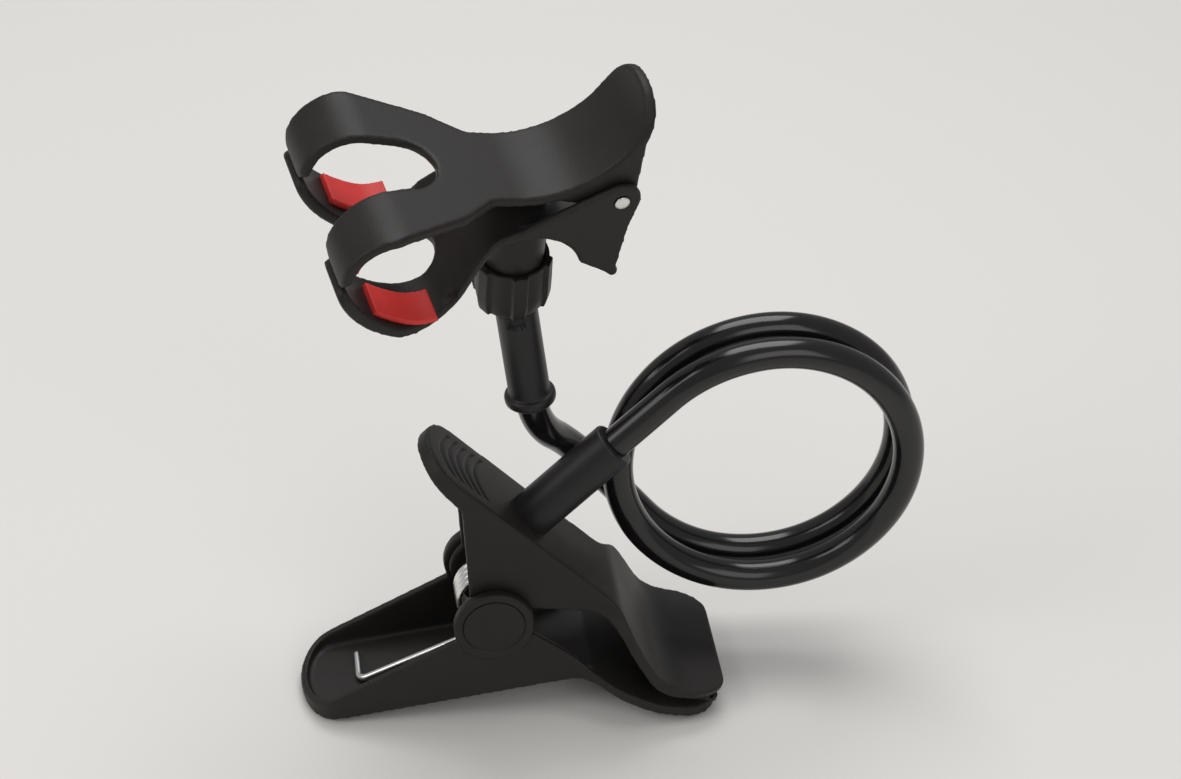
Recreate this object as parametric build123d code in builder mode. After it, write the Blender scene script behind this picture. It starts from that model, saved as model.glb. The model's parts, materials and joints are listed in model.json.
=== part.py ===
from build123d import *
import os
from math import acos, atan2, cos, degrees, radians, sin, sqrt, tan

# Phone holder: a spring clamp for a table edge, a bendable arm wound twice, and a
# two-jaw phone clip on a ball joint. Millimetres, Z up. The origin is the middle of the
# flat that the clamp's handle rests on. +X runs from there to the mouth, Y along the pin.

# Fits
RUN_FIT = 0.05          # radial, pin in a turning hole
SLIDE_GAP = 0.3         # side gap between two turning walls
SEAT_FIT = 0.05         # radial, pieces pushed together for good

# Base clamp
WALL = 2.2              # moulded wall
PLATE = 3.2             # plate and bill thickness
LOWER_HALF = 16.0       # half width of the lower jaw
LOWER_SLOPE = 9.0       # rise of the lower plate towards the mouth, degrees
UPPER_SLOPE = -43.9     # slope of the upper plate, degrees
LOWER_REACH = 25.0      # pivot to the lower plate's outside
UPPER_REACH = 27.0      # pivot to the upper plate's outside
LOWER_HANDLE = 58.0     # below the pivot to the handle's end, along the plate
UPPER_HANDLE = 51.0
END_ROUND = 10.0        # the handles' ends are half ellipses this deep
REST_FLAT = 0.5         # cut off where the lower jaw rests
BEND = 25.0             # below the pivot to the bend before the bill
RIM = 4.2               # wall height at the handle's end
EAR_R = 11.5            # pivot ears of the lower jaw
UPPER_EAR_R = 10.0
RIM_TO = 0.66           # share of the upper handle with a low rim
RIM_GAIN = 1.6
MOUTH_HALF = 24.0       # half width of the flared mouth
MOUTH_CORNER = 12.0     # round corners of the mouth
FLARE_BACK = 8.0        # the flare starts before the bend and ends past it
FLARE_ON = 12.0
LOWER_BOW = 12.0        # outside and inside radii of the bends
LOWER_BOW_IN = 6.0
UPPER_BOW = 15.0
UPPER_BOW_IN = 14.0
BILL_SLOPE = -12.0      # slope of the closed bills, degrees
BILL_FLAT = 19.0        # length of a bill, past its knee
BILL_X = 66.0           # lower bill's tip, from the pivot
BILL_PAD = 1.6          # grip pad thickness
BILL_GAP = 0.1          # between the closed pads
PIN_D = 6.0
RING_D = 18.0           # recess in each pivot ear
RING_DEEP = 0.8
EAR_STEP = 1.2          # raised ring around the recess
GRIP_ROWS = 3           # thumb grooves on the upper handle
GRIP_FROM_END = 10.0
GRIP_PITCH = 6.5
GRIP_HALF = 10.0
GRIP_BOW = 4.5
GRIP_W = 1.0
GRIP_DEEP = 0.7
BASE_WIRE = 2.0         # clamp spring
BASE_COIL_R = 8.6
ARM_THIN = 0.02         # radius that the straight arms are drawn thinner
BASE_TURNS = 4
SPRING_ARM = 41.0       # seat of each arm, along the handle
SPRING_HOOK = 12.0      # end turned across the handle
PAD_INSET = 1.5
PAD_FROM = 9.0          # grip pad, past the knee
PAD_SIDE = 5.0          # jaw left free beside the pad
PAD_RIB = 1.2
PAD_RIB_DEEP = 0.7

# Arm
TUBE_D = 9.0
CORE_D = 5.8
SOCKET_D = 13.6
SOCKET_L = 33.0
SOCKET_BACK = 10.0      # from below the pivot towards the handle, along the plate
SPIGOT_D = 10.5
SOCKET_FLOOR = 4.0
ARM_RUN = 21.0          # straight run outside the socket
COIL_R = 41.6           # to the tube's centre
COIL_PITCH = 12.5
COIL_STEPS = 15         # arcs in the wound part
NECK_LEAN = 40.0        # lean of the arm where it leaves the coil, degrees
NECK_RUN = 22.0
STEM_X = 11.8           # lower end of the stem, x from the pivot
STEM_Y = 12.5
STEM_Z = 92.5
STEM_TOWARDS = (-0.16, -0.02, 0.985)

# Stem with the ball, along the stem's axis
STEM_D = 11.8
STEM_L = 30.4           # sleeve, up to its shoulder
BEAD_D = 14.6
BEAD_H = 3.4
SHOULDER = 1.4
SHOULDER_TOP_D = 8.6
NECK_D = 6.6
STUD_IN = 5.0           # ball's shank inside the stem
STEM_WEB = 0.4          # between the shank's bore and the arm
BALL_R = 6.9
BALL_UP = 9.8           # shoulder's foot to the ball's centre

# Socket and lock collar, along the clip's axis from the ball's centre
BALL_GAP = 0.12         # around the ball
SOCKET_R = 8.6
SOCKET_DOWN = 2.2
SEAT_H = 1.5
LIP_H = 1.6
LIP_R = 6.6
THREAD_FIT = 0.08
COLLAR_R = 10.0
COLLAR_TOP = 10.6
COLLAR_BOTTOM = -6.4
COLLAR_RIBS = 6
COLLAR_TURN = 25.0      # first rib, degrees
RIB_W = 4.0
RIB_OUT = 0.9
BALL_X = -24.0          # along the clip
BALL_DROP = 38.2        # clip pivot to the ball's centre

# Phone clip, in its own frame: x from fingers to levers, z out of the upper jaw
CLIP_FACING = (0.978, 0.195, 0.07)
CLIP_UP = (-0.02, -0.251, 0.968)
CLIP_T = 3.0            # jaw thickness
FINGER_HALF = 21.5      # finger centre line at the tips
FINGER_W = 13.5
BODY_HALF = 20.0
LEVER_HALF = 15.5
CROTCH_X = -46.5
CROTCH_R = 9.0
CLIP_FAR = -104.0       # beyond the finger tips
LEVER_FAR = 30.0        # beyond the levers
SPREAD_X = -64.0        # the fingers run straight beyond this
BODY_X = -44.0
WAIST_X = -34.0
PLAN_R = 5.0
UPPER_ARC_X = -65.0     # finger curl, centre and radius at mid thickness
UPPER_ARC_Z = 2.5
UPPER_ARC_R = 12.8
UPPER_TIP_ANGLE = 184.0
UPPER_DIVE = 16.6       # slope of the jaw down to its saddle, degrees
UPPER_SADDLE_R = 29.7
UPPER_SADDLE_Z = 3.7
UPPER_LEVER_SLOPE = 80.0        # slope at the upper lever's end, degrees
LOWER_ARC_X = -55.5
LOWER_ARC_Z = -6.0
LOWER_ARC_R = 15.0
LOWER_ARC_END = 240.0   # the curl ends here, seen from its centre, degrees
FLANK_R = 45.0          # flatter flank up to the lower finger's tip
FLANK_TURN = 41.0
TIP_T = 1.7             # the flank thins out to this at its tip
LOWER_DIVE = 50.0
LOWER_SADDLE_R = 18.5
LOWER_LEVER = 20.0
UPPER_LEVER_ROUND = 12.0        # round corners in plan
LOWER_LEVER_ROUND = 4.0
TIP_ROUND = 4.0
CLIP_PIN_D = 3.2
RIVET_HEAD_D = 5.4
RIVET_HEAD_H = 0.9
CLIP_EAR_R = 5.6
CLIP_EAR_T = 2.2
PAD_T = 1.8
PAD_W = 10.5
PAD_Y = 20.5
PAD_SWEEP = 88.0
UPPER_PAD_FROM = 165.0
LOWER_PAD_FROM = 282.0
PAD_UP_FLANK = 14.0     # pad's run up the flank, degrees
CLIP_WIRE = 1.4
CLIP_COIL_R = 3.6
CLIP_TURNS = 4
CLIP_SPRING_AT = 12.0   # seat of the lower arm, along the lever
UPPER_SEAT_SLOPE = 52.0 # seat of the upper arm, where the lever slopes so, degrees
LOWER_SADDLE_Z = -5.7   # saddle of the lower jaw, mid thickness

os.makedirs("parts", exist_ok=True)


def along(point, angle, distance):
    """Point at a distance from another, in a side view, angle in degrees."""
    a = radians(angle)
    return (point[0] + distance * cos(a), point[1] + distance * sin(a))


def save(solid, name):
    """Label a finished piece and write it."""
    solid.label = name
    export_step(solid, f"parts/{name}.step")


# Places worked out from the sizes above
def rise(angle):
    return (cos(radians(angle)), sin(radians(angle)))


REST_L = REST_FLAT / tan(radians(LOWER_SLOPE))
PIVOT_X = LOWER_HANDLE * cos(radians(LOWER_SLOPE)) - LOWER_REACH * sin(radians(LOWER_SLOPE)) - REST_L / 2
PIVOT_Z = LOWER_REACH * cos(radians(LOWER_SLOPE)) + LOWER_HANDLE * sin(radians(LOWER_SLOPE)) - REST_FLAT
PIVOT = (PIVOT_X, PIVOT_Z)
LOWER_FOOT = along(PIVOT, LOWER_SLOPE - 90, LOWER_REACH)
UPPER_FOOT = along(PIVOT, UPPER_SLOPE + 90, UPPER_REACH)
UPPER_HALF = LOWER_HALF - WALL - SLIDE_GAP
BILL_STACK = 2 * PLATE + 2 * BILL_PAD + BILL_GAP
STEM_GRIP = STEM_L - STUD_IN - STEM_WEB

LOWER_END = along(LOWER_FOOT, LOWER_SLOPE, -LOWER_HANDLE)
LOWER_BEND = along(LOWER_FOOT, LOWER_SLOPE, BEND)
LOWER_TIP = (PIVOT_X + BILL_X, -REST_FLAT)
LOWER_KNEE = along(LOWER_TIP, BILL_SLOPE, -BILL_FLAT)
UPPER_END = along(UPPER_FOOT, UPPER_SLOPE, -UPPER_HANDLE)
UPPER_BEND = along(UPPER_FOOT, UPPER_SLOPE, BEND)
UPPER_TIP = along(LOWER_TIP, BILL_SLOPE + 90, BILL_STACK)
UPPER_KNEE = along(UPPER_TIP, BILL_SLOPE, -BILL_FLAT)

LOWER_PLANE = Plane(
    origin=(LOWER_FOOT[0], 0, LOWER_FOOT[1]),
    x_dir=(rise(LOWER_SLOPE)[0], 0, rise(LOWER_SLOPE)[1]),
    z_dir=(-rise(LOWER_SLOPE)[1], 0, rise(LOWER_SLOPE)[0]),
)
UPPER_PLANE = Plane(
    origin=(UPPER_FOOT[0], 0, UPPER_FOOT[1]),
    x_dir=(rise(UPPER_SLOPE)[0], 0, rise(UPPER_SLOPE)[1]),
    z_dir=(-rise(UPPER_SLOPE)[1], 0, rise(UPPER_SLOPE)[0]),
)


def jaw_plan(plane, handle, half, inset, mouth):
    """Plan of a clamp jaw: round handle end, straight body, flared mouth."""
    tip = mouth - inset
    body = half - inset
    wide = MOUTH_HALF - inset
    corner = MOUTH_CORNER - inset
    flare = BEND - FLARE_BACK
    flared = BEND + FLARE_ON
    with BuildSketch(plane) as plan:
        with BuildLine():
            start = END_ROUND - handle
            EllipticalCenterArc((start, 0), END_ROUND - inset, body, 90, arc_size=90)
            Line((start, body), (flare, body))
            Spline((flare, body), (flared, wide), tangents=((1, 0), (1, 0)))
            Line((flared, wide), (tip - corner, wide))
            RadiusArc((tip - corner, wide), (tip, wide - corner), corner)
            Line((tip, wide - corner), (tip, 0))
            mirror(about=Plane.XZ)
        make_face()
    return plan.sketch


def reach_on(plane, point):
    """Distance of a side-view point along a jaw plane's x."""
    return plane.to_local_coords(Vector(point[0], 0, point[1])).X


LOWER_MOUTH = reach_on(LOWER_PLANE, LOWER_TIP)
UPPER_MOUTH = reach_on(UPPER_PLANE, UPPER_TIP) + 2.0


def band(points, thick, turn):
    """Side-view strip along an outside line, thick to one side (+1 left, -1 right)."""
    inner = []
    angles = [degrees(atan2(b[1] - a[1], b[0] - a[0])) for a, b in zip(points, points[1:])]
    for i, p in enumerate(points):
        before = angles[max(i - 1, 0)]
        after = angles[min(i, len(angles) - 1)]
        half = radians(after - before) / 2
        inner.append(along(p, (before + after) / 2 + 90 * turn, thick / cos(half)))
    return inner


LOWER_LINE = [LOWER_END, LOWER_BEND, LOWER_KNEE, LOWER_TIP]
UPPER_LINE = [UPPER_END, UPPER_BEND, UPPER_KNEE, UPPER_TIP]
LOWER_INNER = band(LOWER_LINE, PLATE, 1)
UPPER_INNER = band(UPPER_LINE, PLATE, -1)

# Rim of each jaw's side walls, from the handle's end over the ear to the bend
LOWER_RIM = [
    along(LOWER_END, LOWER_SLOPE + 90, RIM),
    (PIVOT[0] - EAR_R, PIVOT[1] - EAR_R / 2),
    (PIVOT[0] + EAR_R, PIVOT[1] - EAR_R / 3),
]
UPPER_RIM = [
    along(UPPER_END, UPPER_SLOPE - 90, RIM),
    along(along(UPPER_FOOT, UPPER_SLOPE, -UPPER_HANDLE * RIM_TO), UPPER_SLOPE - 90, RIM + RIM_GAIN),
    along(PIVOT, 132, UPPER_EAR_R),
    along(PIVOT, 20, UPPER_EAR_R),
]


def side_solid(points):
    """Closed side-view polygon, as wide as the mouth."""
    with BuildPart() as block:
        with BuildSketch(Plane.XZ):
            with BuildLine():
                Polyline(*points, close=True)
            make_face()
        extrude(amount=MOUTH_HALF, both=True)
    return block.part


def jaw_hollow(plane, handle, half, mouth, inner, far):
    """Space inside a jaw's walls, from its plate to well past its rim."""
    with BuildPart() as hollow:
        add(side_solid([*inner[:3], along(inner[2], far, 90), along(inner[0], far, 90)]))
        extrude(jaw_plan(plane, handle, half, WALL, mouth), amount=120, both=True, mode=Mode.INTERSECT)
    return hollow.part


PIN_AXIS = Plane(origin=(PIVOT[0], 0, PIVOT[1]), x_dir=(1, 0, 0), z_dir=(0, -1, 0))
HEAD_D = RING_D - 2 * SLIDE_GAP
LOWER_HOLLOW = jaw_hollow(
    LOWER_PLANE, LOWER_HANDLE, LOWER_HALF, LOWER_MOUTH, LOWER_INNER, LOWER_SLOPE + 90
)
UPPER_HOLLOW = jaw_hollow(
    UPPER_PLANE, UPPER_HANDLE, UPPER_HALF, UPPER_MOUTH, UPPER_INNER, UPPER_SLOPE - 90
)

with BuildPart() as base_lower_jaw:
    with BuildSketch(Plane.XZ):
        with BuildLine():
            FilletPolyline(*LOWER_LINE, radius=LOWER_BOW)
            Line(LOWER_TIP, LOWER_INNER[3])
            FilletPolyline(*LOWER_INNER[:0:-1], LOWER_RIM[2], radius=LOWER_BOW_IN)
            Polyline(*LOWER_RIM[::-1], LOWER_END)
        make_face()
        with Locations(PIVOT):
            Circle(EAR_R)
    extrude(amount=MOUTH_HALF, both=True)
    extrude(
        jaw_plan(LOWER_PLANE, LOWER_HANDLE, LOWER_HALF, 0, LOWER_MOUTH),
        amount=120, both=True, mode=Mode.INTERSECT,
    )
    add(LOWER_HOLLOW, mode=Mode.SUBTRACT)
    for side in (1, -1):
        with BuildSketch(PIN_AXIS.offset(side * LOWER_HALF)):
            Circle(EAR_R)
            Circle(RING_D / 2, mode=Mode.SUBTRACT)
        extrude(amount=side * EAR_STEP)
    with BuildSketch(PIN_AXIS):
        Circle(PIN_D / 2 + SEAT_FIT)
    extrude(amount=LOWER_HALF * 2, both=True, mode=Mode.SUBTRACT)
    split(bisect_by=Plane.XY, keep=Keep.TOP)
save(base_lower_jaw.part, "base_lower_jaw")

SOCKET_FOOT = along(UPPER_FOOT, UPPER_SLOPE, -SOCKET_BACK)
SOCKET_PLANE = Plane(
    origin=(SOCKET_FOOT[0], 0, SOCKET_FOOT[1]), x_dir=UPPER_PLANE.x_dir, z_dir=UPPER_PLANE.z_dir
)

with BuildPart() as base_upper_jaw:
    with BuildSketch(Plane.XZ):
        with BuildLine():
            FilletPolyline(*UPPER_LINE, radius=UPPER_BOW)
            Line(UPPER_TIP, UPPER_INNER[3])
            FilletPolyline(*UPPER_INNER[:0:-1], UPPER_RIM[3], radius=UPPER_BOW_IN)
            Polyline(*UPPER_RIM[::-1], UPPER_END)
        make_face()
        with Locations(PIVOT):
            Circle(UPPER_EAR_R)
    extrude(amount=MOUTH_HALF, both=True)
    extrude(
        jaw_plan(UPPER_PLANE, UPPER_HANDLE, UPPER_HALF, 0, UPPER_MOUTH),
        amount=120, both=True, mode=Mode.INTERSECT,
    )
    add(UPPER_HOLLOW, mode=Mode.SUBTRACT)
    with BuildSketch(PIN_AXIS):
        Circle(PIN_D / 2 + RUN_FIT)
    extrude(amount=LOWER_HALF * 2, both=True, mode=Mode.SUBTRACT)
    with BuildSketch(SOCKET_PLANE):
        Circle(SPIGOT_D / 2 + SEAT_FIT)
    extrude(amount=-PLATE - 1, mode=Mode.SUBTRACT)
    with BuildSketch(UPPER_PLANE):
        for row in range(GRIP_ROWS):
            x = GRIP_FROM_END - UPPER_HANDLE + row * GRIP_PITCH
            with BuildLine():
                ThreePointArc((x, -GRIP_HALF), (x - GRIP_BOW, 0), (x, GRIP_HALF))
            trace(line_width=GRIP_W)
    extrude(amount=-GRIP_DEEP, mode=Mode.SUBTRACT)
save(base_upper_jaw.part, "base_upper_jaw")


# Pin through both ears, with a flat head in each ring
with BuildPart() as base_pivot_pin:
    with BuildSketch(PIN_AXIS):
        Circle(PIN_D / 2)
    extrude(amount=LOWER_HALF, both=True)
    for side in (1, -1):
        with BuildSketch(PIN_AXIS.offset(side * LOWER_HALF)):
            Circle(HEAD_D / 2)
        extrude(amount=side * RING_DEEP)
save(base_pivot_pin.part, "base_pivot_pin")


def tangent_angle(target, radius, side):
    """Angle where a line from a side-view point touches a circle at the pivot."""
    dx, dz = target[0] - PIVOT[0], target[1] - PIVOT[1]
    reach = sqrt(dx * dx + dz * dz)
    return degrees(atan2(dz, dx)) + side * degrees(acos(radius / reach))


# Torsion spring on the pin: one arm lies in each handle
WIRE_R = BASE_WIRE / 2
LOWER_SEAT = along(
    along(LOWER_FOOT, LOWER_SLOPE, -SPRING_ARM), LOWER_SLOPE + 90, PLATE + WIRE_R + SEAT_FIT
)
UPPER_SEAT = along(
    along(UPPER_FOOT, UPPER_SLOPE, -SPRING_ARM), UPPER_SLOPE - 90, PLATE + WIRE_R + SEAT_FIT
)
COIL_FROM = tangent_angle(LOWER_SEAT, BASE_COIL_R, 1)
COIL_TO = tangent_angle(UPPER_SEAT, BASE_COIL_R, -1)
SPRING_TURNS = BASE_TURNS + ((COIL_TO - COIL_FROM) % 360) / 360
SPRING_RISE = BASE_WIRE * 1.08
SPRING_H = SPRING_TURNS * SPRING_RISE
SPRING_PLANE = Plane(
    origin=(PIVOT[0], -SPRING_H / 2, PIVOT[1]),
    x_dir=(cos(radians(COIL_FROM)), 0, sin(radians(COIL_FROM))),
    z_dir=(0, 1, 0),
)
LOWER_ARM_END = (LOWER_SEAT[0], -SPRING_H / 2, LOWER_SEAT[1])
UPPER_ARM_END = (UPPER_SEAT[0], SPRING_H / 2, UPPER_SEAT[1])

with BuildPart() as base_spring:
    with BuildLine() as wire_path:
        add(SPRING_PLANE.location * Helix(
            SPRING_RISE, SPRING_H, BASE_COIL_R, lefthand=True, mode=Mode.PRIVATE
        ))
    with BuildSketch(Plane(origin=wire_path.line @ 0, z_dir=wire_path.line % 0)):
        Circle(WIRE_R)
    sweep(path=wire_path.line, is_frenet=True)
    for end, tip, hook in (
        (wire_path.line @ 0, LOWER_ARM_END, SPRING_HOOK),
        (wire_path.line @ 1, UPPER_ARM_END, -SPRING_HOOK),
    ):
        run = Vector(*tip) - end
        with BuildSketch(Plane(origin=end, z_dir=run)):
            Circle(WIRE_R - ARM_THIN)
        extrude(amount=run.length)
        with Locations(tip, end):
            Sphere(WIRE_R)
        with BuildSketch(Plane(origin=tip, z_dir=(0, hook, 0))):
            Circle(WIRE_R)
        extrude(amount=abs(hook))
save(base_spring.part, "base_spring")


def bill_pad(inner, out):
    """Ribbed grip pad on the flat of a closed bill."""
    knee, tip = inner[2], inner[3]
    slope = degrees(atan2(tip[1] - knee[1], tip[0] - knee[0]))
    start = along(knee, slope, PAD_FROM)
    plane = Plane(
        origin=(start[0], 0, start[1]),
        x_dir=(cos(radians(slope)), 0, sin(radians(slope))),
        z_dir=(-out * sin(radians(slope)), 0, out * cos(radians(slope))),
    )
    length = BILL_FLAT - PAD_FROM - PAD_INSET
    with BuildPart() as pad:
        with BuildSketch(plane):
            with Locations((length / 2, 0)):
                RectangleRounded(length, 2 * (MOUTH_HALF - PAD_SIDE), PAD_INSET)
        extrude(amount=BILL_PAD - SEAT_FIT)
        with BuildSketch(plane.offset(BILL_PAD - SEAT_FIT)):
            with Locations((length / 2, 0)):
                with GridLocations(length / 4, 1, 3, 1):
                    Rectangle(PAD_RIB, 2 * MOUTH_HALF)
        extrude(amount=-PAD_RIB_DEEP, mode=Mode.SUBTRACT)
    return pad.part


save(bill_pad(LOWER_INNER, 1), "lower_bill_pad")
save(bill_pad(UPPER_INNER, -1), "upper_bill_pad")


# Arm socket: a sleeve on the upper plate, its spigot through the plate
with BuildPart() as arm_socket:
    with BuildSketch(SOCKET_PLANE):
        Circle(SOCKET_D / 2)
    extrude(amount=SOCKET_L)
    with BuildSketch(SOCKET_PLANE):
        Circle(SPIGOT_D / 2)
    extrude(amount=-PLATE)
    with BuildSketch(SOCKET_PLANE.offset(SOCKET_L)):
        Circle(TUBE_D / 2 + SEAT_FIT)
    extrude(amount=SOCKET_FLOOR - SOCKET_L, mode=Mode.SUBTRACT)
    mouth_face = arm_socket.faces().sort_by(Axis(SOCKET_PLANE.origin, SOCKET_PLANE.z_dir))[-1]
    fillet(mouth_face.outer_wire().edges(), 0.8)
save(arm_socket.part, "arm_socket")

# The arm's centre line: out of the socket, round the coil, up the neck
SOCKET_DIR = SOCKET_PLANE.z_dir
ARM_FROM = SOCKET_PLANE.origin + SOCKET_DIR * (SOCKET_FLOOR + SEAT_FIT)
COIL_START = SOCKET_PLANE.origin + SOCKET_DIR * (SOCKET_L + ARM_RUN)
COIL_CENTRE = COIL_START + UPPER_PLANE.x_dir * COIL_R
COIL_ANGLE = 180 + UPPER_SLOPE
COIL_SWEEP = COIL_ANGLE + 180 - NECK_LEAN + 360
COIL_STEP = COIL_SWEEP / COIL_STEPS


def coil_point(step):
    """Centre-line point after some arcs of the coil. The first arc rises half a step."""
    a = radians(COIL_ANGLE - step * COIL_STEP)
    lead = COIL_PITCH * COIL_STEP / 360 * (step - 0.5)
    return COIL_CENTRE + Vector(COIL_R * cos(a), lead, COIL_R * sin(a))


def arc_middle(start, out, end, arrive):
    """Where two tangent arcs meet between two points with given headings."""
    span = end - start
    both = span.dot(out + arrive)
    bend = 2 * (1 - out.dot(arrive))
    reach = (sqrt(both * both + bend * span.dot(span)) - both) / bend
    return (start + end) / 2 + (out - arrive) * (reach / 2)


with BuildLine() as arm_line:
    Line(ARM_FROM, COIL_START)
    heading = SOCKET_DIR
    place = COIL_START
    for step in range(1, COIL_STEPS + 1):
        bow = TangentArc(place, coil_point(step), tangent=heading)
        place = bow @ 1
        heading = bow % 1
    neck = Line(place, place + heading * NECK_RUN)
    STEM_FOOT = Vector(PIVOT_X + STEM_X, STEM_Y, STEM_Z)
    joint = arc_middle(neck @ 1, heading, STEM_FOOT, Vector(*STEM_TOWARDS).normalized())
    crook = TangentArc(neck @ 1, joint, tangent=heading)
    rise_bow = TangentArc(crook @ 1, STEM_FOOT, tangent=crook % 1)
    STEM_DIR = rise_bow % 1
    Line(STEM_FOOT, STEM_FOOT + STEM_DIR * STEM_GRIP)
ARM_WIRE = arm_line.wires()[0]
ARM_START = Plane(origin=ARM_FROM, z_dir=SOCKET_DIR)

with BuildPart() as arm_sleeve:
    with BuildSketch(ARM_START):
        Circle(TUBE_D / 2)
        Circle(CORE_D / 2 + SEAT_FIT, mode=Mode.SUBTRACT)
    sweep(path=ARM_WIRE)
save(arm_sleeve.part, "arm_sleeve")

with BuildPart() as arm_core:
    with BuildSketch(ARM_START):
        Circle(CORE_D / 2)
    sweep(path=ARM_WIRE)
save(arm_core.part, "arm_core")

# Stem: a sleeve over the arm's end, with a bead below and a bore for the ball's shank above
STEM_PLANE = Plane(origin=STEM_FOOT, z_dir=STEM_DIR)
BALL_Z = STEM_L + BALL_UP
BALL_CENTRE = STEM_FOOT + STEM_DIR * BALL_Z
BOWL_R = BALL_R + BALL_GAP

with BuildPart() as ball_stem:
    with BuildSketch(STEM_PLANE):
        Circle(STEM_D / 2)
    extrude(amount=STEM_L)
    with BuildSketch(STEM_PLANE.offset(-BEAD_H / 2)):
        Circle(BEAD_D / 2)
    extrude(amount=BEAD_H)
    rounds = ball_stem.edges().filter_by(GeomType.CIRCLE)
    fillet(rounds.filter_by(lambda e: e.radius > STEM_D / 2 + 1), 1.2)
    with BuildSketch(STEM_PLANE.offset(STEM_L)):
        Circle(STEM_D / 2)
    with BuildSketch(STEM_PLANE.offset(STEM_L + SHOULDER)):
        Circle(SHOULDER_TOP_D / 2)
    loft()
    with BuildSketch(STEM_PLANE.offset(-BEAD_H)):
        Circle(TUBE_D / 2 + SEAT_FIT)
    extrude(amount=BEAD_H + STEM_GRIP + SEAT_FIT, mode=Mode.SUBTRACT)
    with BuildSketch(STEM_PLANE.offset(STEM_L - STUD_IN)):
        Circle(NECK_D / 2 + RUN_FIT)
    extrude(amount=STUD_IN + BALL_UP, mode=Mode.SUBTRACT)
save(ball_stem.part, "ball_stem")

# Ball with its shank, free to turn in the stem
with BuildPart() as ball_stud:
    with BuildSketch(STEM_PLANE.offset(STEM_L - STUD_IN + SLIDE_GAP)):
        Circle(NECK_D / 2)
    extrude(amount=STUD_IN - SLIDE_GAP + BALL_UP)
    with Locations(BALL_CENTRE):
        Sphere(BALL_R)
save(ball_stud.part, "ball_stud")

# Clip jaws in side view: finger curl, dive, saddle, lever
UPPER_ARC = (UPPER_ARC_X, UPPER_ARC_Z)
LOWER_ARC = (LOWER_ARC_X, LOWER_ARC_Z)
UPPER_DIVE_FROM = along(UPPER_ARC, 90 - UPPER_DIVE, UPPER_ARC_R)
UPPER_DIVE_L = (
    UPPER_DIVE_FROM[1] - UPPER_SADDLE_Z - UPPER_SADDLE_R * (1 - cos(radians(UPPER_DIVE)))
) / sin(radians(UPPER_DIVE))
LOWER_DIVE_FROM = along(LOWER_ARC, LOWER_DIVE - 90, LOWER_ARC_R)
LOWER_DIVE_L = (
    LOWER_SADDLE_Z - LOWER_DIVE_FROM[1] - LOWER_SADDLE_R * (1 - cos(radians(LOWER_DIVE)))
) / sin(radians(LOWER_DIVE))
UPPER_DIVE_TO = along(UPPER_DIVE_FROM, -UPPER_DIVE, UPPER_DIVE_L)
UPPER_BOW_AT = along(UPPER_DIVE_TO, 90 - UPPER_DIVE, UPPER_SADDLE_R)
LOWER_DIVE_TO = along(LOWER_DIVE_FROM, LOWER_DIVE, LOWER_DIVE_L)
LOWER_BOW_AT = along(LOWER_DIVE_TO, LOWER_DIVE - 90, LOWER_SADDLE_R)
LOWER_LEVER_FROM = along(LOWER_BOW_AT, 90 - LOWER_DIVE, LOWER_SADDLE_R)
FLANK_AT = along(LOWER_ARC, LOWER_ARC_END - 180, FLANK_R - LOWER_ARC_R)
FLANK_IN = FLANK_R - CLIP_T / 2
LOWER_FINGER_TIP = along(FLANK_AT, LOWER_ARC_END - FLANK_TURN, FLANK_IN + TIP_T / 2)

# Clip frame: the ball's socket stands square under the lower jaw's saddle
CLIP_X = Vector(*CLIP_FACING).normalized()
CLIP_Y = Vector(*CLIP_UP).cross(CLIP_X).normalized()
CLIP_Z = CLIP_X.cross(CLIP_Y)
CLIP_ORIGIN = BALL_CENTRE - CLIP_X * BALL_X + CLIP_Z * BALL_DROP
CLIP = Plane(origin=CLIP_ORIGIN, x_dir=CLIP_X, z_dir=CLIP_Z)
CLIP_SIDE = Plane(origin=CLIP_ORIGIN, x_dir=CLIP_X, z_dir=-CLIP_Y)
BALL_PLANE = Plane(origin=BALL_CENTRE, x_dir=CLIP_X, z_dir=CLIP_Z)
SEAT_TOP = -SOCKET_DOWN - SEAT_FIT
LIP_TOP = SEAT_TOP - SEAT_H - RUN_FIT

# Seat ring under the ball, between socket and collar
with BuildPart() as ball_seat:
    with BuildSketch(BALL_PLANE.offset(SEAT_TOP)):
        Circle(SOCKET_R - SEAT_FIT)
    extrude(amount=-SEAT_H)
    with Locations(BALL_CENTRE):
        Sphere(BOWL_R, mode=Mode.SUBTRACT)
save(ball_seat.part, "ball_seat")

# Lock collar: a tall nut on the socket, its lip under the seat ring
with BuildPart() as lock_collar:
    with BuildSketch(BALL_PLANE.offset(COLLAR_BOTTOM)):
        Circle(COLLAR_R)
    extrude(amount=COLLAR_TOP - COLLAR_BOTTOM)
    with BuildSketch(BALL_PLANE.offset(COLLAR_BOTTOM)):
        with PolarLocations(COLLAR_R, COLLAR_RIBS, start_angle=COLLAR_TURN):
            Rectangle(2 * RIB_OUT, RIB_W)
    extrude(amount=COLLAR_TOP - COLLAR_BOTTOM)
    with BuildSketch(BALL_PLANE.offset(COLLAR_BOTTOM)):
        Circle(SOCKET_R + THREAD_FIT)
    extrude(amount=LIP_TOP - LIP_H - COLLAR_BOTTOM, mode=Mode.SUBTRACT)
    with BuildSketch(BALL_PLANE.offset(COLLAR_BOTTOM)):
        Circle(LIP_R)
    extrude(amount=LIP_TOP - COLLAR_BOTTOM, mode=Mode.SUBTRACT)
    with BuildSketch(BALL_PLANE.offset(LIP_TOP)):
        Circle(SOCKET_R + THREAD_FIT)
    extrude(amount=COLLAR_TOP - LIP_TOP, mode=Mode.SUBTRACT)
save(lock_collar.part, "lock_collar")


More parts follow.
